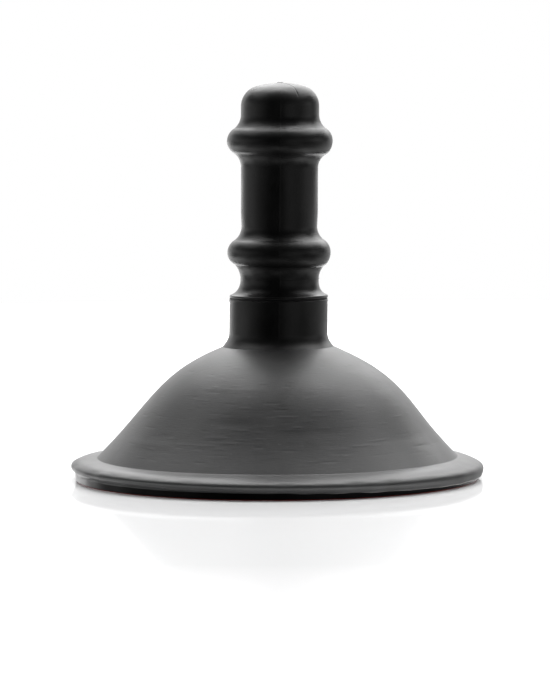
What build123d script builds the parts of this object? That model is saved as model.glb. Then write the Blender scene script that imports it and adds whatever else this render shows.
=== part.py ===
from build123d import *
import os
from math import cos, pi, radians, sin, tan

# Sink plunger: a moulded rubber cup on a foot ring, with a collar bolted to its crown
# and a short ribbed grip that screws down onto the collar.
# Millimetres, +Z up, axis of the cup on Z, underside of the foot on z = 0.

# Cup
CUP_RADIUS = 60.0
CUP_WALL = 3.2
WALL_STEPS = 5
CROWN_TOP = 38.5
CROWN_UNDER = 34.4
CROWN_RADIUS = 16.15
CROWN_INNER_RADIUS = 15.15
CROWN_SLOPE = 23.0
UPPER_SHOULDER = (28.6, 31.9)
MIDDLE_SHOULDER = (34.4, 27.0)
LOWER_SHOULDER = (38.4, 22.6)
SLOPE_POINT = (44.6, 15.0)
FLANGE_ROOT = (52.4, 6.45)
FLANGE_ROOT_SLOPE = 46.0
FLANGE_SWEEP = (53.6, 5.8)
FLANGE_SHOULDER = (58.5, 5.05)
FLANGE_SHOULDER_SLOPE = 14.0
FLANGE_TIP_Z = 3.75
FLANGE_UNDER = 3.5
FLANGE_LIP = (59.25, 2.05)

# Foot ring and the red seal set into its underside
FOOT_OUTER = 58.75
FOOT_INNER = 50.8
FOOT_LIFT = 0.35
FOOT_EDGE = 0.2
SEAL_OUTER = 58.3
SEAL_INNER = 52.6
SEAL_TOP = 1.6
SEAL_EDGE = 0.15

# M8 hardware on the axis
STUD_RADIUS = 3.96
STUD_CHAMFER = 0.8
HEX_ACROSS_FLATS = 13.0
HEAD_HEIGHT = 5.3
NUT_HEIGHT = 4.0
HEX_CHAMFER = 0.6
STUD_HOLE = 4.2
BACKING_RADIUS = 12.0
BACKING_THICKNESS = 2.0
SEAL_WASHER_RADIUS = 13.0
SEAL_WASHER_THICKNESS = 1.2
CROWN_WASHER_RADIUS = 8.0
CROWN_WASHER_THICKNESS = 1.6

# Collar
COLLAR_RADIUS = 14.32
COLLAR_TOP = 52.3
COLLAR_EDGE = 0.25
COLLAR_FLOOR = 2.0
COLLAR_BORE = 9.1
COLLAR_FLARE_TOP = 42.6
FLARE_MIDDLE = (14.83, 40.4)

# Grip, its core and the threaded insert
SEAT_RADIUS = 14.0
SEAT_HOLE = 9.2
SEAT_THICKNESS = 0.4
LIP_RADIUS = 14.28
LIP_HEIGHT = 0.9
LIP_UNDER_EDGE = 0.2
LIP_UPPER_EDGE = 0.45
LIP_EDGE_TURN = 70.0
FOOT_COVE = (12.2, 54.9)
NECK_RADIUS = 11.42
NECK_Z = 58.3
SHAFT_RADIUS = 11.15
WAIST_RADIUS = 10.97
WAIST_TOP = 77.5
BEAD_SECTION = 4.36
BEAD_HALF_HEIGHT = 3.75
LOWER_BEAD = (15.0, 65.75)
UPPER_BEAD = (15.3, 98.05)
COVE_HEIGHT = 3.9
CAP_RADIUS = 11.35
CAP_CORNER = 6.0
CAP_CORNER_TURN = 75.0
GRIP_TOP = 114.85
NIB_RADIUS = 1.2
NIB_HEIGHT = 0.25
NIB_ROOT = 1.0
CORE_RADIUS = 7.0
CORE_TOP = 104.0
SPIGOT_RADIUS = 9.0
SPIGOT_GAP = 0.8
INSERT_RADIUS = 6.0
INSERT_LENGTH = 14.0
INSERT_BORE = 4.0
THREAD_ENGAGED = 12.5
STUD_CLEARANCE = 2.0

# Heights that follow from the stack on the stud
SEAL_WASHER_Z = CROWN_UNDER - SEAL_WASHER_THICKNESS
BACKING_Z = SEAL_WASHER_Z - BACKING_THICKNESS
HEAD_Z = BACKING_Z - HEAD_HEIGHT
CROWN_WASHER_Z = CROWN_TOP + COLLAR_FLOOR
NUT_Z = CROWN_WASHER_Z + CROWN_WASHER_THICKNESS
SPIGOT_Z = NUT_Z + NUT_HEIGHT + SPIGOT_GAP
STUD_TOP = SPIGOT_Z + THREAD_ENGAGED
GRIP_FOOT = COLLAR_TOP + SEAT_THICKNESS

UPRIGHT = (Align.CENTER, Align.CENTER, Align.MIN)


def turned(*outline):
    """Solid of revolution about Z from a closed outline of (radius, height) lines."""
    return revolve(make_face(Plane.XZ * Curve(children=list(outline))), Axis.Z)


def rod(radius, low, high):
    """Upright cylinder on the axis between two heights."""
    return Pos(0, 0, low) * Cylinder(radius, high - low, align=UPRIGHT)


def ring(inner, outer, low, high):
    """Flat ring on the axis between two heights."""
    return rod(outer, low, high) - rod(inner, low, high)


def hexagon(low, high):
    """Hexagonal M8 head or nut blank, with its corners chamfered at the top and bottom."""
    blank = Pos(0, 0, low) * extrude(RegularPolygon(HEX_ACROSS_FLATS / 2, 6, major_radius=False), high - low)
    corner = HEX_ACROSS_FLATS / 2 / cos(radians(30))
    turned_blank = chamfer(rod(corner, low, high).edges().filter_by(GeomType.CIRCLE), HEX_CHAMFER)
    return blank & turned_blank


def downhill(slope):
    """Direction that leads outwards and down at a slope in degrees."""
    return (1, -tan(radians(slope)))


def cup_walls():
    """Outer curve of the dome, and the same curve moved in by the wall's thickness."""
    crown_edge = (CROWN_RADIUS, CROWN_TOP)
    outer = Spline(crown_edge, UPPER_SHOULDER, MIDDLE_SHOULDER, LOWER_SHOULDER, SLOPE_POINT, FLANGE_ROOT,
                   tangents=[downhill(CROWN_SLOPE), downhill(FLANGE_ROOT_SLOPE)])
    inner_points = []
    for step in range(1, WALL_STEPS + 1):
        share = step / WALL_STEPS
        across = (outer % share).rotate(Axis.Z, -90)
        inner_points.append(outer @ share + across * CUP_WALL)
    return outer, inner_points


def cup():
    """Rubber dome with a flat crown, a stud hole and a flange whose thick edge laps over the foot ring."""
    outer, inner_points = cup_walls()
    crown_inner = (CROWN_INNER_RADIUS, CROWN_UNDER)
    inner = Spline(crown_inner, *inner_points, (FOOT_INNER, FLANGE_UNDER))
    flange_top = Spline(outer @ 1, FLANGE_SWEEP, FLANGE_SHOULDER,
                        tangents=[outer % 1, downhill(FLANGE_SHOULDER_SLOPE)])
    tip = Spline(FLANGE_SHOULDER, (CUP_RADIUS, FLANGE_TIP_Z), FLANGE_LIP,
                 tangents=[flange_top % 1, (0, -1), (-1, -0.3)])
    under = Polyline(FLANGE_LIP, (FOOT_OUTER, FLANGE_LIP[1]), (FOOT_OUTER, FLANGE_UNDER), (FOOT_INNER, FLANGE_UNDER))
    crown = Polyline(crown_inner, (STUD_HOLE, CROWN_UNDER), (STUD_HOLE, CROWN_TOP), (CROWN_RADIUS, CROWN_TOP))
    return turned(outer, flange_top, tip, under, inner, crown)


def foot_ring():
    """Ring bonded under the flange, with a channel in its underside for the seal."""
    body = ring(FOOT_INNER, FOOT_OUTER, FOOT_LIFT, FLANGE_UNDER)
    corner = body.edges().filter_by(GeomType.CIRCLE).group_by(Axis.Z)[0].sort_by(SortBy.RADIUS)[-1]
    return fillet(corner, FOOT_EDGE) - ring(SEAL_INNER, SEAL_OUTER, 0, SEAL_TOP)


def base_seal():
    """Flat red ring that the plunger stands on."""
    seal = ring(SEAL_INNER, SEAL_OUTER, 0, SEAL_TOP)
    return chamfer(seal.edges().group_by(Axis.Z)[0], SEAL_EDGE)


def collar():
    """Socket bolted to the crown, flared at its foot, with a floor under the nut."""
    flare = ThreePointArc((CROWN_RADIUS, CROWN_TOP), FLARE_MIDDLE, (COLLAR_RADIUS, COLLAR_FLARE_TOP))
    shell = turned(
        flare,
        Polyline((COLLAR_RADIUS, COLLAR_FLARE_TOP), (COLLAR_RADIUS, COLLAR_TOP), (COLLAR_BORE, COLLAR_TOP),
                 (COLLAR_BORE, CROWN_WASHER_Z), (STUD_HOLE, CROWN_WASHER_Z), (STUD_HOLE, CROWN_TOP),
                 (CROWN_RADIUS, CROWN_TOP)),
    )
    lip = shell.edges().group_by(Axis.Z)[-1].sort_by(SortBy.RADIUS)[-1]
    return fillet(lip, COLLAR_EDGE)


def stud():
    """M8 bolt: hexagonal head under the crown, shank up into the grip's insert."""
    shank = rod(STUD_RADIUS, BACKING_Z, STUD_TOP)
    shank = chamfer(shank.edges().group_by(Axis.Z)[-1], STUD_CHAMFER)
    return hexagon(HEAD_Z, BACKING_Z) + shank


def jam_nut():
    """Thin nut that clamps the collar to the crown."""
    return hexagon(NUT_Z, NUT_Z + NUT_HEIGHT) - rod(STUD_RADIUS, NUT_Z, NUT_Z + NUT_HEIGHT)


def bead(centre):
    """Rounded rib of the grip: an arc that bulges out to the centre point."""
    radius, height = centre
    return ThreePointArc(bead_edge(centre, -1), (radius, height), bead_edge(centre, 1))


def bead_edge(centre, side):
    """Point where a rib meets the cove below it (side -1) or above it (side 1)."""
    radius, height = centre
    sagitta = BEAD_SECTION - (BEAD_SECTION ** 2 - BEAD_HALF_HEIGHT ** 2) ** 0.5
    return (radius - sagitta, height + side * BEAD_HALF_HEIGHT)


def cove(centre, side, radius):
    """Hollow sweep from the edge of a rib to a plain stretch of the given radius."""
    edge = bead_edge(centre, side)
    end = (radius, edge[1] + side * COVE_HEIGHT)
    curve = TangentArc(end, edge, tangent=(0, -side))
    return curve, end


def cap_corner():
    """Rounded edge of the cap, placed so that the arc over the top ends at the grip's height."""
    turn = radians(CAP_CORNER_TURN)
    reach = CAP_RADIUS - CAP_CORNER * (1 - cos(turn))
    rise = reach * tan((pi / 2 - turn) / 2)
    height = GRIP_TOP - rise - CAP_CORNER * sin(turn)
    return CenterArc((CAP_RADIUS - CAP_CORNER, height), CAP_CORNER, 0, CAP_CORNER_TURN)


def grip_outline():
    """Outside of the grip from its foot to the middle of its cap."""
    lip_top = GRIP_FOOT + LIP_HEIGHT
    lip = Polyline((LIP_RADIUS - LIP_UNDER_EDGE, GRIP_FOOT), (LIP_RADIUS, GRIP_FOOT + LIP_UNDER_EDGE),
                   (LIP_RADIUS, lip_top - LIP_UPPER_EDGE))
    lip_edge = JernArc(lip @ 1, (0, 1), LIP_UPPER_EDGE, LIP_EDGE_TURN)
    below_lower, neck_top = cove(LOWER_BEAD, -1, NECK_RADIUS)
    above_lower, waist = cove(LOWER_BEAD, 1, WAIST_RADIUS)
    below_upper, shaft_high = cove(UPPER_BEAD, -1, SHAFT_RADIUS)
    above_upper, cap_low = cove(UPPER_BEAD, 1, CAP_RADIUS)
    corner = cap_corner()
    return [
        lip,
        lip_edge,
        Spline(lip_edge @ 1, FOOT_COVE, (NECK_RADIUS, NECK_Z), tangents=[lip_edge % 1, (0, 1)]),
        Line((NECK_RADIUS, NECK_Z), neck_top),
        below_lower,
        bead(LOWER_BEAD),
        above_lower,
        Polyline(waist, (SHAFT_RADIUS, WAIST_TOP), shaft_high),
        below_upper,
        bead(UPPER_BEAD),
        above_upper,
        Line(cap_low, corner @ 0),
        corner,
        TangentArc(corner @ 1, (0, GRIP_TOP), tangent=corner % 1),
    ]


def grip():
    """Moulded grip with two ribs, hollow for its core, with a small gate nib on top."""
    hollow = Polyline((0, GRIP_TOP), (0, CORE_TOP), (CORE_RADIUS, CORE_TOP), (CORE_RADIUS, GRIP_FOOT),
                      (LIP_RADIUS - LIP_UNDER_EDGE, GRIP_FOOT))
    return turned(*grip_outline(), hollow) + rod(NIB_RADIUS, GRIP_TOP - NIB_ROOT, GRIP_TOP + NIB_HEIGHT)


def grip_core():
    """Stiff rod inside the grip, with a spigot that centres it in the collar."""
    solid = rod(CORE_RADIUS, GRIP_FOOT, CORE_TOP) + rod(SPIGOT_RADIUS, SPIGOT_Z, GRIP_FOOT)
    socket = rod(INSERT_RADIUS, SPIGOT_Z, SPIGOT_Z + INSERT_LENGTH)
    relief = rod(STUD_HOLE, SPIGOT_Z, STUD_TOP + STUD_CLEARANCE)
    return solid - socket - relief


def threaded_insert():
    """Brass sleeve that runs on the stud."""
    return ring(INSERT_BORE, INSERT_RADIUS, SPIGOT_Z, SPIGOT_Z + INSERT_LENGTH)


def washers():
    """Flat rings of the stack on the stud, and the seat under the grip."""
    return {
        "seal_washer": ring(STUD_HOLE, SEAL_WASHER_RADIUS, SEAL_WASHER_Z, CROWN_UNDER),
        "backing_washer": ring(STUD_HOLE, BACKING_RADIUS, BACKING_Z, SEAL_WASHER_Z),
        "crown_washer": ring(STUD_HOLE, CROWN_WASHER_RADIUS, CROWN_WASHER_Z, NUT_Z),
        "seat_washer": ring(SEAT_HOLE, SEAT_RADIUS, COLLAR_TOP, GRIP_FOOT),
    }


nodes = {
    "cup": cup(),
    "foot_ring": foot_ring(),
    "base_seal": base_seal(),
    "collar": collar(),
    "stud": stud(),
    "jam_nut": jam_nut(),
    "grip": grip(),
    "grip_core": grip_core(),
    "threaded_insert": threaded_insert(),
    **washers(),
}

os.makedirs("parts", exist_ok=True)
for name, solid in nodes.items():
    export_step(solid, f"parts/{name}.step")
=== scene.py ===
import math

import bmesh
import bpy
import numpy as np
from mathutils import Matrix, Vector


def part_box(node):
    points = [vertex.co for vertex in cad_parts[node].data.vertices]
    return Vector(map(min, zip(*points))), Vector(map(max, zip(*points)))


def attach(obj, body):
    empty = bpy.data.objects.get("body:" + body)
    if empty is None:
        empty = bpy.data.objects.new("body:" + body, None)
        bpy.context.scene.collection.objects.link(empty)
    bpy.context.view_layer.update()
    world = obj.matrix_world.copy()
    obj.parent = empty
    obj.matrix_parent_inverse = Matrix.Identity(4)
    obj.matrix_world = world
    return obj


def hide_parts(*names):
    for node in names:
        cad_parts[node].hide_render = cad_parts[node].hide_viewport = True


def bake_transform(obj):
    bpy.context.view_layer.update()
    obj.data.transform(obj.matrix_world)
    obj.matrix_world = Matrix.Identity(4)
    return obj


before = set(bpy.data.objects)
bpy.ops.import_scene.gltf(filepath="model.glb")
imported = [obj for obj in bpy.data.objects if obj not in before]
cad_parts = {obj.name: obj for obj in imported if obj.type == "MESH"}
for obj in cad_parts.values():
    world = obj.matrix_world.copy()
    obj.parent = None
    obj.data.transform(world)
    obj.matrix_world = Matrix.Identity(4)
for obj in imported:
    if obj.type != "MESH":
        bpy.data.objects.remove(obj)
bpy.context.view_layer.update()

# Lengths in the outlines and reliefs are in millimetres, as on a drawing, and turned to metres by MM.
# Azimuth 0 is behind the object as the camera sees it, and angles on a turned piece start at +X.
MM = 0.001
SEED = 11
FRONT = -0.5 * math.pi

# ---------------------------------------------------------------- sizes, from the frame


def extent(node):
    """Largest radius, lowest point and highest point of a CAD node, in millimetres."""
    low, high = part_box(node)
    return high.x / MM, low.z / MM, high.z / MM


CUP_RADIUS, LIP_LOW, CROWN_TOP = extent("cup")
FOOT_OUTER, FOOT_LIFT, FLANGE_UNDER = extent("foot_ring")
SEAL_OUTER, SEAL_FLOOR, SEAL_TOP = extent("base_seal")
COLLAR_FOOT, COLLAR_LOW, COLLAR_TOP = extent("collar")
GRIP_FOOT, NIB_TOP = extent("grip")[1:]
SEAT_RADIUS, SEAT_LOW, SEAT_HIGH = extent("seat_washer")
HEAD_CORNER, HEAD_LOW, STUD_TOP = extent("stud")
INSERT_RADIUS, INSERT_LOW, INSERT_HIGH = extent("threaded_insert")
CROWN_UNDER = extent("seal_washer")[2]
HEAD_HIGH = extent("backing_washer")[1]
COLLAR_FLOOR = extent("crown_washer")[1]

# Cup
DOME_POINTS = [(28.6, 31.9), (34.4, 27.0), (38.4, 22.6), (44.6, 15.0)]
FLANGE_ROOT = (52.4, 6.45)
FLANGE_SWEEP = (56.2, 5.88)
FLANGE_SHOULDER = (58.6, 5.1)
CROWN_SLOPE = 23.0
ROOT_SLOPE = 46.0
SWEEP_SLOPE = 7.0
SHOULDER_SLOPE = 25.0
TIP_Z = 3.6
RIM_LIP_RADIUS = 59.25
CUP_WALL = 3.2
CUP_MOUTH = 50.8
STUD_HOLE = 4.2
DOME_STEPS = 240
INNER_WALL_STEPS = 5

# Foot ring
FOOT_ROUND = 0.2
SEAL_INNER = 52.6
SEAL_ROUND = 0.15
SEAL_GROOVE_DEPTH = 0.22
SEAL_GROOVE_SHARE = 0.05

# Collar
COLLAR_RADIUS = 14.32
COLLAR_BORE = 9.1
FLARE_LEAVES = (-0.62, 0.78)
FLARE_MIDDLE = (14.83, 40.4)
COLLAR_FLARE_TOP = 42.6
COLLAR_ROUND = 0.3
SEAT_SWELL = 0.22
SEAT_BULGE = 0.1

# Grip
LIP_RADIUS = 14.28
LIP_HEIGHT = 0.9
LIP_UNDER_EDGE = 0.2
LIP_ROUND = 0.45
LIP_TURN = 70.0
FOOT_COVE = (12.2, 54.9)
NECK = (11.42, 58.3)
SHAFT_RADIUS = 11.15
WAIST_RADIUS = 10.97
WAIST_TOP = 77.5
BEAD_SECTION = 4.36
BEAD_HALF_HEIGHT = 3.75
LOWER_BEAD = (15.0, 65.75)
UPPER_BEAD = (15.3, 98.05)
COVE_HEIGHT = 3.9
CAP_RADIUS = 11.35
CAP_CORNER = 6.0
CAP_TURN = 75.0
NIB_HEIGHT = 0.25
NIB_RADIUS = 1.2
CORE_RADIUS = 7.0
CORE_TOP = 104.0

# M8 thread
PITCH = 1.25
STUD_RADIUS = 3.96
THREAD_DEPTH = 0.62
THREAD_START = 42.2
TIP_CHAMFER = 0.8
FLANK_OFFSET = 1.35
FLANK_STEEPNESS = 3.2
HEX_HALF_FLATS = 6.5
HEX_CHAMFER = 0.6
INSERT_BORE = 4.0
INSERT_CHAMFER = 0.4
INSERT_THREAD_DEPTH = 0.5
KNURL_DEPTH = 0.12
KNURL_COUNT = 24
KNURL_TWIST = 5

# Steps round a turned piece
WIDE_SEGMENTS = 540
STEM_SEGMENTS = 512
THREAD_SEGMENTS = 96

# ---------------------------------------------------------------- outlines


def smooth(points, start, end, count):
    """Points on the cubic curve through the given ones, leaving along start and arriving along end."""
    p = np.array(points, float)
    t = np.concatenate([[0.0], np.cumsum(np.linalg.norm(np.diff(p, axis=0), axis=1))])
    h = np.diff(t)
    last = len(p) - 1
    system = np.eye(len(p))
    slope = np.zeros_like(p)
    slope[0] = np.array(start) / np.linalg.norm(start)
    slope[last] = np.array(end) / np.linalg.norm(end)
    for i in range(1, last):
        system[i, i - 1:i + 2] = h[i], 2 * (h[i - 1] + h[i]), h[i - 1]
        slope[i] = 3 * (h[i] * (p[i] - p[i - 1]) / h[i - 1] + h[i - 1] * (p[i + 1] - p[i]) / h[i])
    slope = np.linalg.solve(system, slope)
    s = np.linspace(0, t[-1], count)
    k = np.clip(np.searchsorted(t, s, side="right") - 1, 0, last - 1)
    step = h[k][:, None]
    u = ((s - t[k]) / h[k])[:, None]
    near = (2 * u**3 - 3 * u**2 + 1) * p[k] + (u**3 - 2 * u**2 + u) * step * slope[k]
    far = (3 * u**2 - 2 * u**3) * p[k + 1] + (u**3 - u**2) * step * slope[k + 1]
    return near + far


def arc(centre, radius, first, last, count):
    """Points on an arc, from the first angle to the last, in degrees."""
    a = np.radians(np.linspace(first, last, count))
    return np.array(centre) + radius * np.stack([np.cos(a), np.sin(a)], axis=1)


def straight(a, b, count):
    """Evenly spaced points from a to b."""
    return np.linspace(np.array(a, float), np.array(b, float), count)


def joined(*runs):
    """One outline from several runs of points, with the doubled end points taken out."""
    points = np.concatenate([np.array(r, float).reshape(-1, 2) for r in runs])
    gap = np.linalg.norm(np.diff(points, axis=0), axis=1)
    return points[np.concatenate([[True], gap > 1e-4])]


def downhill(slope):
    """Direction that leads outwards and down at a slope in degrees."""
    return (1, -math.tan(math.radians(slope)))


# ---------------------------------------------------------------- turned meshes


def outline_normals(points, closed):
    """Unit normals of an outline that runs with the solid on its left."""
    if closed:
        along = np.roll(points, -1, axis=0) - np.roll(points, 1, axis=0)
    else:
        along = np.gradient(points, axis=0)
    normal = np.stack([along[:, 1], -along[:, 0]], axis=1)
    return normal / np.maximum(np.linalg.norm(normal, axis=1, keepdims=True), 1e-9)


def turned(name, points, segments, closed=True, relief=None, bend=None):
    """Mesh turned about Z. relief(angle, r, z) lifts it along its normal, and bend(x, y, z) moves it."""
    angle = np.linspace(0, 2 * math.pi, segments, endpoint=False)[None, :]
    r, z = points[:, :1], points[:, 1:]
    if relief is not None:
        lift = relief(angle, r, z)
        normal = outline_normals(points, closed)
        r, z = r + lift * normal[:, :1], z + lift * normal[:, 1:]
    x, y = r * np.cos(angle), r * np.sin(angle)
    z = z + 0 * angle
    if bend is not None:
        x, y, z = bend(x, y, z)
    rows = len(points)
    index = np.arange(rows * segments).reshape(rows, segments)
    if closed:
        lower, upper = index, np.roll(index, -1, axis=0)
    else:
        lower, upper = index[:-1], index[1:]
    quads = np.stack([lower, np.roll(lower, -1, axis=1), np.roll(upper, -1, axis=1), upper], axis=-1)
    mesh = bpy.data.meshes.new(name)
    verts = np.stack([x, y, z], axis=-1).reshape(-1, 3) * MM
    mesh.from_pydata(verts.tolist(), [], quads.reshape(-1, 4).tolist())
    return finished(name, mesh)


def finished(name, mesh, crease=50.0):
    """Welds the points on the axis, turns the normals out and shades smooth but for creases."""
    bm = bmesh.new()
    bm.from_mesh(mesh)
    bmesh.ops.remove_doubles(bm, verts=bm.verts, dist=1e-7)
    bmesh.ops.recalc_face_normals(bm, faces=bm.faces)
    bm.to_mesh(mesh)
    bm.free()
    mesh.shade_smooth()
    mesh.set_sharp_from_angle(angle=math.radians(crease))
    obj = bpy.data.objects.new(name, mesh)
    bpy.context.scene.collection.objects.link(obj)
    return obj


# ---------------------------------------------------------------- surface relief

# The real moulding is not quite round: it leans, bulges, sags and droops towards +X.
LEAN = math.tan(math.radians(0.72))
LEAN_FROM = 3.0
LEAN_CORE = 9.3
LEAN_CORE_EDGE = 1.2
DOME_BULGE = 0.35
BULGE_Z = 25.0
BULGE_SPREAD = 9.0
RIB_SAG = 0.33
NECK_SWAY = 0.29
FLANGE_DROOP = 0.4
LIP_DROOP = 1.0


def ramp(value, low, high):
    """Smooth step from 0 at low to 1 at high."""
    t = np.clip((value - low) / (high - low), 0, 1)
    return t * t * (3 - 2 * t)


def lean(x, y, z):
    """The moulding leans a little towards +X from its foot up, round a stack that stays straight."""
    r = np.hypot(x, y)
    outside = np.maximum(np.clip((r - LEAN_CORE) / LEAN_CORE_EDGE, 0, 1), ramp(z, CORE_TOP, CORE_TOP + 3))
    shift = LEAN * np.maximum(z - LEAN_FROM, 0)
    return x + shift * outside, y, z


def dome_bend(x, y, z):
    """The lean, a soft bulge on one side of the dome, and a rim that droops on that side."""
    r = np.hypot(x, y)
    bulge = DOME_BULGE * np.exp(-((z - BULGE_Z) / BULGE_SPREAD) ** 2)
    drop = LIP_DROOP + (FLANGE_DROOP - LIP_DROOP) * ramp(z, LIP_LOW, FLANGE_SHOULDER[1])
    droop = drop * x / CUP_RADIUS * ramp(r, FLANGE_ROOT[0], FLANGE_SHOULDER[0])
    outside = np.maximum(ramp(r, FOOT_OUTER, FOOT_OUTER + 0.3), ramp(z, FLANGE_UNDER, FLANGE_UNDER + 1.5))
    droop = droop * outside
    x, y, z = lean(x, y, z - droop)
    return x + bulge, y, z


def grip_bend(x, y, z):
    """The lean, a sway of the neck and ribs whose undersides hang lower towards +X."""
    outside = ramp(np.hypot(x, y), LEAN_CORE, LEAN_CORE + LEAN_CORE_EDGE)
    sag = 0
    for rib in (LOWER_BEAD, UPPER_BEAD):
        under = rib[1] - BEAD_HALF_HEIGHT
        sag = sag + RIB_SAG * (x / rib[0]) * np.exp(-((z - under) / 2.5) ** 2)
    sway = NECK_SWAY * np.exp(-((z - NECK[1]) / 4.5) ** 2)
    x, y, z = lean(x, y, z)
    return x + sway * outside, y, z - sag * outside


def turn_from(angle, centre):
    """Signed angle from a centre angle, between -pi and pi."""
    return (angle - centre + math.pi) % (2 * math.pi) - math.pi


def tool_marks(seed, count, low, high, depth, width, reach):
    """Short level grooves and ridges at random heights and places, as a lift for angle and z."""
    rng = np.random.default_rng(seed)
    height = rng.uniform(low, high, count)
    place = rng.uniform(0, 2 * math.pi, count)
    half = rng.uniform(0.3, 1.0, count) * reach
    lift = rng.normal(0, depth, count)
    thick = rng.uniform(0.6, 1.4, count) * width

    def marks(angle, z):
        total = np.zeros(np.broadcast(angle, z).shape)
        for h, p, a, d, w in zip(height, place, half, lift, thick):
            rows = np.nonzero(np.abs(z[:, 0] - h) < 3 * w)[0]
            across = np.exp(-((z[rows] - h) / w) ** 2)
            along = np.exp(-(turn_from(angle, p) / a) ** 4)
            total[rows] += d * across * along
        return total

    return marks


def waves(seed, count, height, turns, rise):
    """Soft unevenness: random waves round and up the piece, as a lift for angle and z."""
    rng = np.random.default_rng(seed)
    around = rng.integers(1, turns + 1, count)
    up = rng.uniform(-rise, rise, count)
    phase = rng.uniform(0, 2 * math.pi, count)

    def lift(angle, z):
        total = np.zeros(np.broadcast(angle, z).shape)
        for n, k, p in zip(around, up, phase):
            total += np.cos(n * angle + k * z + p)
        return total * height / math.sqrt(count)

    return lift


def parting_line(angle, r, height, width):
    """Thin upright ridge at the front and the back, where the mould's halves met."""
    total = 0
    for centre in (FRONT, FRONT + math.pi):
        total = total + np.exp(-(r * turn_from(angle, centre) / width) ** 2)
    return height * total


# ---------------------------------------------------------------- rubber cup, foot ring and seal


def dome_line():
    """Outer curve of the dome, from the crown's edge to the flange's root."""
    crown_edge = (COLLAR_FOOT, CROWN_TOP)
    return smooth([crown_edge, *DOME_POINTS, FLANGE_ROOT],
                  downhill(CROWN_SLOPE), downhill(ROOT_SLOPE), DOME_STEPS + 1)


def cup_outline(dome):
    """Closed section of the cup: crown underside, inner wall, flange over the foot ring, tip and dome."""
    flange = smooth([FLANGE_ROOT, FLANGE_SWEEP, FLANGE_SHOULDER],
                    downhill(SWEEP_SLOPE), downhill(SHOULDER_SLOPE), 37)
    tip = joined(
        smooth([FLANGE_SHOULDER, (CUP_RADIUS, TIP_Z)], downhill(SHOULDER_SLOPE), (0, -1), 13),
        smooth([(CUP_RADIUS, TIP_Z), (RIM_LIP_RADIUS, LIP_LOW)], (0, -1), (-1, -0.3), 13),
    )
    inwards = outline_normals(dome, False)
    every = DOME_STEPS // INNER_WALL_STEPS
    wall = (dome + CUP_WALL * inwards)[every::every]
    crown_inner = (COLLAR_FOOT - 1, CROWN_UNDER)
    inner = smooth([crown_inner, *wall, (CUP_MOUTH, FLANGE_UNDER)],
                   downhill(CROWN_SLOPE), downhill(ROOT_SLOPE), 81)
    return joined(
        straight((STUD_HOLE, CROWN_UNDER), crown_inner, 8),
        inner,
        straight((CUP_MOUTH, FLANGE_UNDER), (FOOT_OUTER, FLANGE_UNDER), 8),
        straight((FOOT_OUTER, FLANGE_UNDER), (FOOT_OUTER, LIP_LOW), 6),
        tip[::-1],
        flange[::-1],
        dome[::-1],
        straight((COLLAR_FOOT, CROWN_TOP), (STUD_HOLE, CROWN_TOP), 8),
    )


def cup_relief(dome):
    """Tool marks and unevenness on the outside of the cup, and a trimmed edge that wanders."""
    low, high = FLANGE_ROOT[1] + 2, CROWN_TOP - 4
    fine = tool_marks(SEED, 800, low, high, depth=0.013, width=0.2, reach=0.075)
    broad = tool_marks(SEED + 1, 46, low, high, depth=0.02, width=0.9, reach=0.3)
    uneven = waves(SEED + 2, 14, height=0.07, turns=7, rise=0.12)
    edge = waves(SEED + 3, 22, height=0.07, turns=46, rise=0.0)

    def relief(angle, r, z):
        surface = np.interp(r, dome[:, 0], dome[:, 1])
        outside = ramp(z, surface - 1.2, surface - 0.3) * ramp(r, COLLAR_FOOT + 1, COLLAR_FOOT + 4)
        dome_only = outside * (r < FLANGE_ROOT[0])
        rim = ramp(r, CUP_RADIUS - 1.6, CUP_RADIUS - 0.4)
        scratches = dome_only * (fine(angle, z) + broad(angle, z))
        return scratches + outside * uneven(angle, z) + rim * edge(angle, z)

    return relief


def make_cup():
    dome = dome_line()
    return turned("cup_skin", cup_outline(dome), WIDE_SEGMENTS, relief=cup_relief(dome), bend=dome_bend)


def make_foot():
    """Foot ring with a slightly uneven wall and a channel for the seal."""
    corner = (FOOT_OUTER - FOOT_ROUND, FOOT_LIFT + FOOT_ROUND)
    outline = joined(
        straight((CUP_MOUTH, FOOT_LIFT), (SEAL_INNER, FOOT_LIFT), 4),
        straight((SEAL_INNER, FOOT_LIFT), (SEAL_INNER, SEAL_TOP), 5),
        straight((SEAL_INNER, SEAL_TOP), (SEAL_OUTER, SEAL_TOP), 6),
        straight((SEAL_OUTER, SEAL_TOP), (SEAL_OUTER, FOOT_LIFT), 5),
        arc(corner, FOOT_ROUND, -90, 0, 6),
        straight((FOOT_OUTER, FOOT_LIFT + FOOT_ROUND), (FOOT_OUTER, FLANGE_UNDER), 15),
        straight((FOOT_OUTER, FLANGE_UNDER), (CUP_MOUTH, FLANGE_UNDER), 5),
        straight((CUP_MOUTH, FLANGE_UNDER), (CUP_MOUTH, FOOT_LIFT), 6)[:-1],
    )
    uneven = waves(SEED + 4, 18, height=0.05, turns=38, rise=0.4)

    def relief(angle, r, z):
        return ramp(r, SEAL_OUTER + 0.2, FOOT_OUTER) * uneven(angle, z)

    return turned("foot_skin", outline, WIDE_SEGMENTS, relief=relief)


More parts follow.
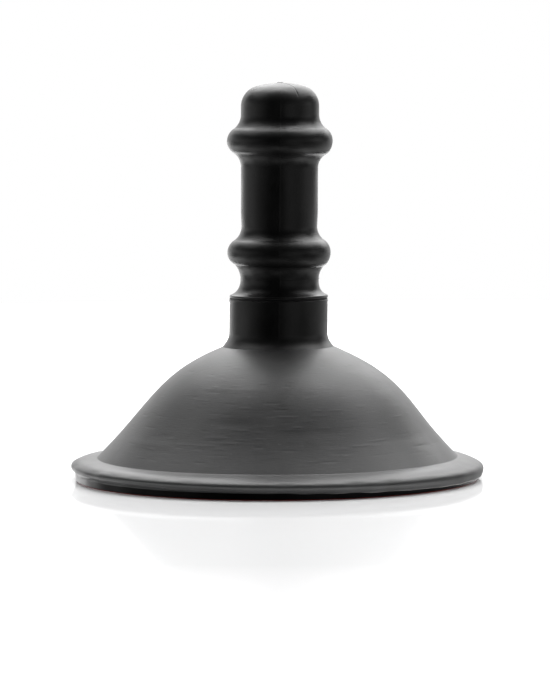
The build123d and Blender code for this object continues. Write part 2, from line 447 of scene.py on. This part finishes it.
def make_seal():
    """Flat seal with small rounds on its two lower edges and three fine grooves in its underside."""
    small = SEAL_ROUND
    under = straight((SEAL_INNER + small, SEAL_FLOOR), (SEAL_OUTER - small, SEAL_FLOOR), 41)
    across = (under[:, 0] - SEAL_INNER) / (SEAL_OUTER - SEAL_INNER)
    groove = sum(np.exp(-((across - k / 4) / SEAL_GROOVE_SHARE) ** 2) for k in (1, 2, 3))
    under[:, 1] += SEAL_GROOVE_DEPTH * groove
    outline = joined(
        arc((SEAL_INNER + small, SEAL_FLOOR + small), small, -180, -90, 5),
        under,
        arc((SEAL_OUTER - small, SEAL_FLOOR + small), small, -90, 0, 5),
        straight((SEAL_OUTER, SEAL_FLOOR + small), (SEAL_OUTER, SEAL_TOP), 5),
        straight((SEAL_OUTER, SEAL_TOP), (SEAL_INNER, SEAL_TOP), 5),
        straight((SEAL_INNER, SEAL_TOP), (SEAL_INNER, SEAL_FLOOR + small), 5)[:-1],
    )
    return turned("seal_skin", outline, WIDE_SEGMENTS)


# ---------------------------------------------------------------- collar and seat


def make_collar():
    """Socket with a flared foot, a rounded top edge, a bore and a floor under the nut."""
    flare = smooth([(COLLAR_FOOT, COLLAR_LOW), FLARE_MIDDLE, (COLLAR_RADIUS, COLLAR_FLARE_TOP)],
                   FLARE_LEAVES, (0, 1), 25)
    outline = joined(
        straight((STUD_HOLE, COLLAR_LOW), (COLLAR_FOOT, COLLAR_LOW), 6),
        flare,
        straight((COLLAR_RADIUS, COLLAR_FLARE_TOP), (COLLAR_RADIUS, COLLAR_TOP - COLLAR_ROUND), 61),
        arc((COLLAR_RADIUS - COLLAR_ROUND, COLLAR_TOP - COLLAR_ROUND), COLLAR_ROUND, 0, 90, 7),
        straight((COLLAR_RADIUS - COLLAR_ROUND, COLLAR_TOP), (COLLAR_BORE, COLLAR_TOP), 6),
        straight((COLLAR_BORE, COLLAR_TOP), (COLLAR_BORE, COLLAR_FLOOR), 12),
        straight((COLLAR_BORE, COLLAR_FLOOR), (STUD_HOLE, COLLAR_FLOOR), 4),
        straight((STUD_HOLE, COLLAR_FLOOR), (STUD_HOLE, COLLAR_LOW), 3)[:-1],
    )
    uneven = waves(SEED + 5, 12, height=0.035, turns=9, rise=0.5)
    marks = tool_marks(SEED + 6, 30, COLLAR_FLARE_TOP, COLLAR_TOP, depth=0.008, width=0.2, reach=0.3)

    def relief(angle, r, z):
        outside = ramp(r, COLLAR_RADIUS - 0.6, COLLAR_RADIUS - 0.2)
        outside = outside * ramp(z, COLLAR_LOW + 0.1, COLLAR_LOW + 2)
        mould_line = parting_line(angle, r, height=0.045, width=0.16)
        return outside * (uneven(angle, z) + marks(angle, z) + mould_line)

    return turned("collar_skin", outline, STEM_SEGMENTS, relief=relief, bend=lean)


def make_seat():
    """Thin washer between the collar and the grip, with a bulged outer edge."""
    middle = 0.5 * (SEAT_LOW + SEAT_HIGH)
    bore = COLLAR_BORE + 0.1
    full = SEAT_RADIUS + SEAT_SWELL
    face = full - SEAT_BULGE
    edge = smooth([(face, SEAT_LOW), (full, middle), (face, SEAT_HIGH)], (1, 0.5), (-1, 0.5), 9)
    outline = joined(
        straight((bore, SEAT_LOW), (face, SEAT_LOW), 4),
        edge,
        straight((face, SEAT_HIGH), (bore, SEAT_HIGH), 4),
    )
    return turned("seat_skin", outline, STEM_SEGMENTS // 2, bend=lean)


# ---------------------------------------------------------------- grip

# Flow line over the cap: how far round from the front, how deep and wide, and where it starts and stops
CAP_LINE_TURN = math.radians(29)
CAP_LINE_DEPTH = 0.13
CAP_LINE_WIDTH = 0.16
CAP_LINE_FROM = 110.5
CAP_LINE_FULL = 112.0
CAP_LINE_STOP = 2.0
SPECKS = 90


def bead_edge(centre, side):
    """Point where a rib meets the cove below it (side -1) or above it (side 1)."""
    sagitta = BEAD_SECTION - math.sqrt(BEAD_SECTION ** 2 - BEAD_HALF_HEIGHT ** 2)
    return (centre[0] - sagitta, centre[1] + side * BEAD_HALF_HEIGHT)


def bead(centre):
    """Rounded rib of the grip, from its lower edge to its upper one."""
    turn = math.degrees(math.asin(BEAD_HALF_HEIGHT / BEAD_SECTION))
    return arc((centre[0] - BEAD_SECTION, centre[1]), BEAD_SECTION, -turn, turn, 45)


def cove(centre, side, radius):
    """Hollow sweep between a plain stretch of the given radius and the edge of a rib, from low to high."""
    edge = bead_edge(centre, side)
    across = edge[0] - radius
    bow = (across ** 2 + COVE_HEIGHT ** 2) / (2 * across)
    turn = math.degrees(math.asin(COVE_HEIGHT / bow))
    level = edge[1] + side * COVE_HEIGHT
    if side > 0:
        return arc((radius + bow, level), bow, 180 + turn, 180, 21)
    return arc((radius + bow, level), bow, 180, 180 - turn, 21)


def cap_line():
    """Rounded edge of the cap and the shallow arc over its top, with the gate nib on the axis."""
    top = NIB_TOP - NIB_HEIGHT
    turn = math.radians(CAP_TURN)
    reach = CAP_RADIUS - CAP_CORNER * (1 - math.cos(turn))
    corner_z = top - reach * math.tan((math.pi / 2 - turn) / 2) - CAP_CORNER * math.sin(turn)
    crown_radius = reach / math.cos(turn)
    corner = arc((CAP_RADIUS - CAP_CORNER, corner_z), CAP_CORNER, 0, CAP_TURN, 41)
    crown = arc((0, top - crown_radius), crown_radius, CAP_TURN, 90, 61)
    nib = NIB_HEIGHT * (1 - ramp(crown[:, 0], 0.55 * NIB_RADIUS, NIB_RADIUS))
    crown[:, 1] += nib
    return corner, crown


def grip_outline():
    """Open section of the grip, from the top of its hollow round the outside to the middle of the cap."""
    lip_top = GRIP_FOOT + LIP_HEIGHT
    lip_edge = arc((LIP_RADIUS - LIP_ROUND, lip_top - LIP_ROUND), LIP_ROUND, 0, LIP_TURN, 9)
    leave = (-math.sin(math.radians(LIP_TURN)), math.cos(math.radians(LIP_TURN)))
    foot_cove = smooth([lip_edge[-1], FOOT_COVE, NECK], leave, (0, 1), 31)
    corner, crown = cap_line()
    return joined(
        straight((0, CORE_TOP), (CORE_RADIUS, CORE_TOP), 5),
        straight((CORE_RADIUS, CORE_TOP), (CORE_RADIUS, GRIP_FOOT), 12),
        straight((CORE_RADIUS, GRIP_FOOT), (LIP_RADIUS - LIP_UNDER_EDGE, GRIP_FOOT), 8),
        lip_edge[:1] - np.array([[0, LIP_HEIGHT - LIP_ROUND - LIP_UNDER_EDGE]]),
        lip_edge,
        foot_cove,
        cove(LOWER_BEAD, -1, NECK[0]),
        bead(LOWER_BEAD),
        cove(LOWER_BEAD, 1, WAIST_RADIUS),
        straight((SHAFT_RADIUS, WAIST_TOP), (SHAFT_RADIUS, bead_edge(UPPER_BEAD, -1)[1] - COVE_HEIGHT), 61),
        cove(UPPER_BEAD, -1, SHAFT_RADIUS),
        bead(UPPER_BEAD),
        cove(UPPER_BEAD, 1, CAP_RADIUS),
        corner,
        crown,
    )


def specks(seed, count, low, high, depth, size):
    """Small pits and grains scattered over the outside, as a lift for angle, radius and z."""
    rng = np.random.default_rng(seed)
    places = np.stack([rng.uniform(0, 2 * math.pi, count), rng.uniform(low, high, count)], axis=1)
    lifts = rng.choice([-1.0, 0.6], count) * rng.uniform(0.4, 1.0, count) * depth

    def lift(angle, r, z):
        total = np.zeros(np.broadcast(angle, z).shape)
        for (a, h), d in zip(places, lifts):
            rows = np.nonzero(np.abs(z[:, 0] - h) < 3 * size)[0]
            away = (r[rows] * turn_from(angle, a)) ** 2 + (z[rows] - h) ** 2
            total[rows] += d * np.exp(-away / size ** 2)
        return total

    return lift


def grip_relief():
    """Parting line, a flow line over the cap, tool marks, specks and soft unevenness."""
    uneven = waves(SEED + 7, 16, height=0.04, turns=6, rise=0.25)
    marks = tool_marks(SEED + 8, 90, GRIP_FOOT + 3, CORE_TOP + 6, depth=0.008, width=0.22, reach=0.5)
    dirt = specks(SEED + 9, SPECKS, GRIP_FOOT + 2, CORE_TOP + 8, depth=0.06, size=0.2)

    def relief(angle, r, z):
        outside = ramp(r, CORE_RADIUS + 1, CORE_RADIUS + 3) * ramp(z, GRIP_FOOT, GRIP_FOOT + 1.2)
        across = r * turn_from(angle, FRONT + CAP_LINE_TURN)
        flow = -CAP_LINE_DEPTH * np.exp(-(across / CAP_LINE_WIDTH) ** 2)
        flow = flow * ramp(z, CAP_LINE_FROM, CAP_LINE_FULL) * ramp(r, CAP_LINE_STOP, CAP_LINE_STOP + 1)
        mould_line = parting_line(angle, r, height=0.05, width=0.15)
        body = uneven(angle, z) + marks(angle, z) + dirt(angle, r, z) + mould_line
        return outside * body + flow * (z > CORE_TOP + 3)

    return relief


def make_grip():
    return turned("grip_skin", grip_outline(), STEM_SEGMENTS,
                  closed=False, relief=grip_relief(), bend=grip_bend)


# ---------------------------------------------------------------- threaded pieces


def thread_depth(angle, z):
    """Share of the thread's full depth, 0 on the crest and 1 in the root, for a right-hand helix."""
    phase = (z / PITCH - angle / (2 * math.pi)) % 1.0
    return np.clip(FLANK_OFFSET - FLANK_STEEPNESS * np.abs(phase - 0.5), 0, 1)


def hexagonal(x, y, z):
    """Cuts the head's part of the bolt back to a hexagon."""
    r = np.hypot(x, y)
    angle = np.arctan2(y, x)
    flat = HEX_HALF_FLATS / np.cos((angle + math.pi / 6) % (math.pi / 3) - math.pi / 6)
    share = np.where(z < HEAD_HIGH + 1e-6, np.minimum(1, flat / np.maximum(r, 1e-6)), 1)
    return x * share, y * share, z


def make_stud():
    """Hexagon bolt with a plain shank through the crown and a rolled thread above the collar's floor."""
    side_low = HEAD_LOW + HEX_CHAMFER
    thread = straight((STUD_RADIUS, THREAD_START), (STUD_RADIUS, STUD_TOP - TIP_CHAMFER), 260)
    outline = joined(
        straight((0, HEAD_LOW), (HEAD_CORNER - HEX_CHAMFER, HEAD_LOW), 9),
        straight((HEAD_CORNER, side_low), (HEAD_CORNER, HEAD_HIGH - HEX_CHAMFER), 12),
        straight((HEAD_CORNER - HEX_CHAMFER, HEAD_HIGH), (STUD_RADIUS, HEAD_HIGH), 6),
        straight((STUD_RADIUS, HEAD_HIGH), (STUD_RADIUS, THREAD_START), 12),
        thread,
        straight((STUD_RADIUS - TIP_CHAMFER, STUD_TOP), (0, STUD_TOP), 6),
    )

    def relief(angle, r, z):
        threaded = ramp(z, THREAD_START, THREAD_START + PITCH) * (z < STUD_TOP - TIP_CHAMFER + 0.01)
        return -THREAD_DEPTH * thread_depth(angle, z) * threaded * (np.abs(r - STUD_RADIUS) < 0.01)

    return turned("stud_skin", outline, THREAD_SEGMENTS, closed=False, relief=relief, bend=hexagonal)


def make_insert():
    """Brass sleeve with the matching thread inside and a knurl outside."""
    bore = straight((INSERT_BORE, INSERT_HIGH), (INSERT_BORE, INSERT_LOW), 170)
    side_low, side_high = INSERT_LOW + INSERT_CHAMFER, INSERT_HIGH - INSERT_CHAMFER
    side = straight((INSERT_RADIUS, side_low), (INSERT_RADIUS, side_high), 120)
    outline = joined(
        straight((INSERT_BORE, INSERT_LOW), (INSERT_RADIUS - INSERT_CHAMFER, INSERT_LOW), 5),
        side,
        straight((INSERT_RADIUS - INSERT_CHAMFER, INSERT_HIGH), (INSERT_BORE, INSERT_HIGH), 5),
        bore[:-1],
    )

    def relief(angle, r, z):
        inside = (np.abs(r - INSERT_BORE) < 0.01) * ramp(z, INSERT_LOW, INSERT_LOW + 0.5)
        thread = INSERT_THREAD_DEPTH * thread_depth(angle, z) * inside
        outside = np.abs(r - INSERT_RADIUS) < 0.01
        one_way = 0.5 + 0.5 * np.cos(KNURL_COUNT * angle + KNURL_TWIST * z)
        other_way = 0.5 + 0.5 * np.cos(KNURL_COUNT * angle - KNURL_TWIST * z)
        knurl = -KNURL_DEPTH * outside * one_way * other_way
        return thread + knurl

    return turned("insert_skin", outline, THREAD_SEGMENTS, relief=relief)


# ---------------------------------------------------------------- materials


def node(tree, kind, **settings):
    """New shader node with its inputs and properties set by name."""
    made = tree.nodes.new(kind)
    for key, value in settings.items():
        if key in made.inputs:
            made.inputs[key].default_value = value
        else:
            setattr(made, key, value)
    return made


def noise(tree, stretch, detail=4.0, roughness=0.55, seed=0.0):
    """Noise in the piece's own space. stretch is how many grains to a millimetre along X, Y and Z."""
    place = node(tree, "ShaderNodeTexCoord")
    grain = node(tree, "ShaderNodeMapping", Scale=[s / MM for s in stretch], Location=(seed, seed, seed))
    made = node(tree, "ShaderNodeTexNoise", Scale=1.0, Detail=detail, Roughness=roughness)
    tree.links.new(place.outputs["Object"], grain.inputs["Vector"])
    tree.links.new(grain.outputs["Vector"], made.inputs["Vector"])
    return made.outputs["Fac"]


def mapped(tree, value, low, high, to_low, to_high):
    """A value moved from one range to another and clamped."""
    made = node(tree, "ShaderNodeMapRange")
    for index, number in enumerate((low, high, to_low, to_high), start=1):
        made.inputs[index].default_value = number
    tree.links.new(value, made.inputs[0])
    return made.outputs[0]


def mixed(tree, share, a, b):
    """Colour between a and b, which are colours or sockets."""
    made = node(tree, "ShaderNodeMix", data_type="RGBA")
    tree.links.new(share, made.inputs["Factor"])
    for socket, colour in ((made.inputs[6], a), (made.inputs[7], b)):
        if isinstance(colour, bpy.types.NodeSocket):
            tree.links.new(colour, socket)
        else:
            socket.default_value = (*colour, 1)
    return made.outputs[2]


def bumped(tree, height, distance, strength, normal=None):
    """Bump from a height socket; distance is in millimetres."""
    made = node(tree, "ShaderNodeBump", Strength=strength, Distance=distance * MM)
    tree.links.new(height, made.inputs["Height"])
    if normal is not None:
        tree.links.new(normal, made.inputs["Normal"])
    return made.outputs["Normal"]


def new_material(name, specular, metallic=0.0):
    """Empty node material with a Principled shader. Returns the material, its tree and the shader."""
    made = bpy.data.materials.new(name)
    made.use_nodes = True
    tree = made.node_tree
    shader = tree.nodes["Principled BSDF"]
    shader.inputs["Specular IOR Level"].default_value = specular
    shader.inputs["Metallic"].default_value = metallic
    return made, tree, shader


def dome_rubber():
    """Matt black rubber with level streaks, smudges, scuffs and a dusty cloudiness."""
    made, tree, shader = new_material("dome_rubber", 0.5)
    cloud = noise(tree, (0.05, 0.05, 0.06), detail=3.0, roughness=0.6)
    streaks = noise(tree, (0.55, 0.55, 3.6), detail=2.0, roughness=0.55, seed=3.0)
    scuffs = noise(tree, (0.45, 0.45, 1.4), detail=3.0, roughness=0.6, seed=8.0)
    smudges = noise(tree, (0.09, 0.09, 0.10), detail=2.0, roughness=0.5, seed=13.0)
    grain = noise(tree, (3.0, 3.0, 3.0), detail=2.0, roughness=0.6, seed=5.0)
    colour = mixed(tree, mapped(tree, cloud, 0.3, 0.7, 0, 1), (0.026, 0.026, 0.027), (0.036, 0.036, 0.036))
    colour = mixed(tree, mapped(tree, streaks, 0.64, 0.74, 0, 0.5), colour, (0.014, 0.014, 0.014))
    colour = mixed(tree, mapped(tree, smudges, 0.58, 0.72, 0, 0.6), colour, (0.020, 0.020, 0.019))
    colour = mixed(tree, mapped(tree, scuffs, 0.64, 0.78, 0, 0.5), colour, (0.07, 0.07, 0.071))
    tree.links.new(colour, shader.inputs["Base Color"])
    tree.links.new(mapped(tree, cloud, 0.3, 0.7, 0.37, 0.46), shader.inputs["Roughness"])
    normal = bumped(tree, streaks, distance=0.04, strength=0.4)
    tree.links.new(bumped(tree, grain, distance=0.02, strength=0.35, normal=normal), shader.inputs["Normal"])
    return made


def moulded_rubber(name, dark, light, roughness, level=0.5):
    """Smooth black moulding with faint blotches, level flow marks and a fine skin."""
    made, tree, shader = new_material(name, level)
    blotch = noise(tree, (0.16, 0.16, 0.12), detail=3.0, roughness=0.6, seed=2.0)
    streaks = noise(tree, (0.2, 0.2, 1.6), detail=3.0, roughness=0.6, seed=6.0)
    grain = noise(tree, (4.0, 4.0, 4.0), detail=2.0, roughness=0.6, seed=9.0)
    colour = mixed(tree, mapped(tree, blotch, 0.35, 0.7, 0, 1), dark, light)
    tree.links.new(colour, shader.inputs["Base Color"])
    tree.links.new(mapped(tree, blotch, 0.3, 0.7, *roughness), shader.inputs["Roughness"])
    normal = bumped(tree, streaks, distance=0.03, strength=0.4)
    tree.links.new(bumped(tree, grain, distance=0.02, strength=0.4, normal=normal), shader.inputs["Normal"])
    return made


def red_rubber():
    """Dark red sheet rubber with a dusting of talc, its own red made darker still as painted shade for the
    unlit gap under the foot ring.
    """
    made, tree, shader = new_material("red_rubber", 0.2)
    blotch = noise(tree, (0.3, 0.3, 0.3), detail=3.0, roughness=0.6)
    grain = noise(tree, (5.0, 5.0, 5.0), detail=2.0, roughness=0.6, seed=4.0)
    # The red is partly the seal's own colour and partly painted shade, darkened to stand for the gap under
    # the foot ring that gets no light.
    colour = mixed(tree, mapped(tree, blotch, 0.35, 0.7, 0, 1), (0.10, 0.006, 0.005), (0.16, 0.012, 0.01))
    tree.links.new(colour, shader.inputs["Base Color"])
    tree.links.new(mapped(tree, blotch, 0.3, 0.7, 0.45, 0.6), shader.inputs["Roughness"])
    tree.links.new(bumped(tree, grain, distance=0.02, strength=0.4), shader.inputs["Normal"])
    return made


def metal(name, dark, light, roughness, stretch):
    """Machined or plated metal with fine marks along one direction."""
    made, tree, shader = new_material(name, 0.5, metallic=1.0)
    marks = noise(tree, stretch, detail=4.0, roughness=0.65)
    blotch = noise(tree, (0.4, 0.4, 0.4), detail=3.0, roughness=0.6, seed=7.0)
    colour = mixed(tree, mapped(tree, blotch, 0.35, 0.7, 0, 1), dark, light)
    tree.links.new(colour, shader.inputs["Base Color"])
    tree.links.new(mapped(tree, marks, 0.3, 0.7, *roughness), shader.inputs["Roughness"])
    tree.links.new(bumped(tree, marks, distance=0.015, strength=0.4), shader.inputs["Normal"])
    return made


FLOOR_PAINTED_GLOW_FROM = 0.19
FLOOR_PAINTED_GLOW_TO = 0.68


def floor_white():
    """Pale polished floor, faintly uneven in gloss, with a painted glow that grows further out to the white
    of the surround and leaves painted shade round the object.
    """
    made, tree, shader = new_material("floor_white", 0.5)
    shader.inputs["Base Color"].default_value = (0.82, 0.82, 0.825, 1)
    haze = noise(tree, (0.004, 0.004, 0.004), detail=2.0, roughness=0.5)
    tree.links.new(mapped(tree, haze, 0.3, 0.7, 0.055, 0.075), shader.inputs["Roughness"])
    place = node(tree, "ShaderNodeTexCoord")
    away = node(tree, "ShaderNodeVectorMath", operation="LENGTH")
    tree.links.new(place.outputs["Object"], away.inputs[0])
    # Painted light: the floor glows more the further it is from the object and lights nothing, so it reads as
    # shaded near the object and lit further out.
    glow = mapped(tree, away.outputs["Value"], FLOOR_PAINTED_GLOW_FROM, FLOOR_PAINTED_GLOW_TO, 0, 1)
    tree.links.new(glow, shader.inputs["Emission Strength"])
    shader.inputs["Emission Color"].default_value = (1, 1, 1, 1)
    made.cycles.emission_sampling = "NONE"
    return made


# ---------------------------------------------------------------- the object


def dress(obj, material):
    """Gives a piece or a CAD node one material in all its slots."""
    slots = obj.data.materials
    if len(slots) == 0:
        slots.append(material)
    for index in range(len(slots)):
        slots[index] = material


def build_object():
    """Makes every piece, dresses it, hangs it on the body it rides on and hides the CAD node that it stands
    for.
    """
    grip_black = moulded_rubber("grip_black", (0.010, 0.010, 0.010), (0.017, 0.017, 0.017), (0.34, 0.44))
    collar_black = moulded_rubber("collar_black", (0.011, 0.011, 0.011), (0.021, 0.021, 0.021), (0.36, 0.46))
    foot_black = moulded_rubber("foot_black", (0.012, 0.012, 0.012), (0.02, 0.02, 0.02), (0.30, 0.40))
    washer_black = moulded_rubber("washer_black", (0.012, 0.012, 0.012), (0.02, 0.02, 0.02), (0.55, 0.7))
    core_grey = moulded_rubber("core_grey", (0.035, 0.036, 0.038), (0.05, 0.051, 0.053), (0.4, 0.55))
    zinc = metal("zinc", (0.52, 0.54, 0.57), (0.68, 0.69, 0.70), (0.26, 0.42), (1.2, 1.2, 1.2))
    brass = metal("brass", (0.62, 0.44, 0.18), (0.74, 0.55, 0.26), (0.22, 0.36), (0.6, 0.6, 6.0))

    cup = make_cup()
    dress(cup, dome_rubber())
    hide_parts("cup")
    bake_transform(cup)

    skins = [
        (make_foot(), foot_black, "rim", "foot_ring", "foot_rubber"),
        (make_seal(), red_rubber(), "rim", "base_seal", "red_rubber"),
        (make_collar(), collar_black, "crown", "collar", "collar_plastic"),
        (make_stud(), zinc, "crown", "stud", "steel"),
        (make_seat(), washer_black, "handle_seat", "seat_washer", "washer_rubber"),
        (make_grip(), grip_black, "handle", "grip", "grip_plastic"),
        (make_insert(), brass, "handle", "threaded_insert", "insert_brass"),
    ]
    for piece, material, body, replaced, slot in skins:
        dress(piece, material)
        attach(piece, body)
        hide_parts(replaced)

    for name in ("jam_nut", "backing_washer", "crown_washer"):
        dress(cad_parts[name], zinc)
    dress(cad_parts["seal_washer"], washer_black)
    dress(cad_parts["grip_core"], core_grey)


# ---------------------------------------------------------------- floor, light and camera

# Rings of soft panels round the object: elevation in degrees, panel width and height in metres, and the
# strength of the panel at each azimuth. The rings below the floor stand for the light that it throws back up.
# FOOT_RING lights only the foot ring, RIM_RING only the cup, and RINGS the rest as light_up says.
FOOT_RING = (-9, 0.86, 0.50, {0: 0.7, 30: 0.35, 60: 0.08, 300: 0.10, 330: 0.7})
RIM_RING = (-14, 0.86, 0.50, {90: 0.8, 120: 1.2, 150: 1.1, 180: 0.9, 210: 0.85, 240: 0.7, 270: 0.5})
RINGS = {
    "low": (8, 0.86, 0.50, {0: 0.37, 30: 0.37, 90: 0.24, 120: 0.07, 150: 0.12,
                            240: 0.10, 270: 0.17, 300: 0.25, 330: 0.42}),
    "mid": (27, 0.80, 0.56, {0: 1.23, 30: 1.07, 330: 0.49}),
    "high": (49, 0.56, 0.60, {0: 1.63, 30: 1.25, 60: 1.22, 90: 0.44, 270: 0.36, 300: 0.43, 330: 1.63}),
    "crest": (71, 0.52, 0.42, {0: 3.50, 60: 2.27, 300: 1.65}),
    "top": (90, 0.70, 0.70, {0: 0.13}),
    "bounce_low": (-9, 0.86, 0.50, {0: 0.72, 30: 0.28, 60: 0.18, 150: 0.08, 270: 0.15, 330: 0.69}),
    "bounce_mid": (-27, 1.20, 0.50, {0: 1.21, 60: 0.31, 120: 0.07, 240: 0.09, 300: 0.61}),
    "bounce_deep": (-52, 1.20, 0.75, {0: 1.02, 90: 0.40, 180: 0.15, 270: 0.26}),
}
PANEL_DISTANCE = 1.6
PANEL_POWER = 10.0
LIGHT_AIM = Vector((0, 0, 0.05))
FLOOR_LAMP_REACH = 0.55
FLOOR_LAMP_HEIGHT = 0.5
FLOOR_LAMP_SIZE = 0.4
FLOOR_LAMP_POWER = 1.5


def area_light(name, place, aim, width, height, power):
    """Rectangular lamp at a place, turned to its aim and hidden from the camera."""
    data = bpy.data.lights.new(name, "AREA")
    data.shape = "RECTANGLE"
    data.size, data.size_y = width, height
    data.energy = power
    lamp = bpy.data.objects.new(name, data)
    lamp.location = place
    lamp.rotation_euler = (place - aim).to_track_quat("Z", "Y").to_euler()
    lamp.visible_camera = False
    bpy.context.scene.collection.objects.link(lamp)
    return lamp


def on_sphere(azimuth, elevation):
    """Unit vector from the object; azimuth 0 is behind it and 90 to its right."""
    a, e = math.radians(azimuth), math.radians(elevation)
    return Vector((math.sin(a) * math.cos(e), math.cos(a) * math.cos(e), math.sin(e)))


def ring_of_lights(name, ring, receivers=None):
    """Panels at one elevation. If receivers is given, they light nothing else."""
    elevation, width, height, strengths = ring
    for azimuth, strength in strengths.items():
        place = LIGHT_AIM + on_sphere(azimuth, elevation) * PANEL_DISTANCE
        power = PANEL_POWER * width * height * strength
        lamp = area_light(f"{name}_{azimuth}", place, LIGHT_AIM, width, height, power)
        lamp.light_linking.receiver_collection = receivers


def only(name, pieces):
    """Collection of pieces that a lamp can be limited to."""
    made = bpy.data.collections.new(name)
    for piece in pieces:
        made.objects.link(piece)
    return made


def light_up(floor):
    """Panels for the object, glows from below for its cup and foot ring, and four lamps for the floor."""
    meshes = [obj for obj in bpy.context.scene.objects if obj.type == "MESH"]
    away_from_floor = [obj for obj in meshes if obj.name not in ("floor", "foot_skin")]
    above_floor = only("above_floor", away_from_floor)
    cup_only = only("cup_only", [bpy.data.objects["cup_skin"]])
    foot_only = only("foot_only", [bpy.data.objects["foot_skin"]])
    floor_only = only("floor_only", [floor])
    for name, ring in RINGS.items():
        ring_of_lights(name, ring, above_floor if ring[0] < 0 else None)
    ring_of_lights("rim", RIM_RING, cup_only)
    ring_of_lights("foot", FOOT_RING, foot_only)
    for azimuth in (0, 90, 180, 270):
        place = on_sphere(azimuth, 0) * FLOOR_LAMP_REACH + Vector((0, 0, FLOOR_LAMP_HEIGHT))
        below = Vector((place.x, place.y, 0))
        size = FLOOR_LAMP_SIZE
        lamp = area_light(f"floor_{azimuth}", place, below, size, size, FLOOR_LAMP_POWER)
        lamp.light_linking.receiver_collection = floor_only
        lamp.visible_glossy = False


def white_surround():
    """White beyond the floor, which only the camera sees, so that it adds no light."""
    world = bpy.data.worlds.new("surround")
    world.use_nodes = True
    world.node_tree.nodes["Background"].inputs["Color"].default_value = (1, 1, 1, 1)
    bpy.context.scene.world = world
    for kind in ("diffuse", "glossy", "transmission", "scatter"):
        setattr(world.cycles_visibility, kind, False)


def pale_floor(radius=0.9, sides=96):
    """Flat round floor under the object. It is kept out of the rubber's own reflections."""
    mesh = bpy.data.meshes.new("floor")
    turns = [2 * math.pi * k / sides for k in range(sides)]
    corners = [(radius * math.cos(a), radius * math.sin(a), 0) for a in turns]
    mesh.from_pydata(corners, [], [tuple(range(sides))])
    floor = bpy.data.objects.new("floor", mesh)
    bpy.context.scene.collection.objects.link(floor)
    dress(floor, floor_white())
    floor.visible_diffuse = False
    floor.visible_glossy = False
    floor.visible_shadow = False
    return floor


CAMERA_PLACE = (-0.00048, -1.0, 0.1088)
CAMERA_TILT = 86.0
CAMERA_ROLL = -0.27
CAMERA_LENS = 179.9


def camera():
    """Long lens a little above the object, looking down four degrees."""
    data = bpy.data.cameras.new("camera")
    data.lens = CAMERA_LENS
    data.sensor_width = 36.0
    obj = bpy.data.objects.new("camera", data)
    tilt = Matrix.Rotation(math.radians(CAMERA_TILT), 4, "X")
    roll = Matrix.Rotation(math.radians(CAMERA_ROLL), 4, "Z")
    obj.matrix_world = Matrix.Translation(CAMERA_PLACE) @ tilt @ roll
    bpy.context.scene.collection.objects.link(obj)
    bpy.context.scene.camera = obj


build_object()
light_up(pale_floor())
white_surround()
camera()
bpy.context.scene.view_settings.view_transform = "Standard"
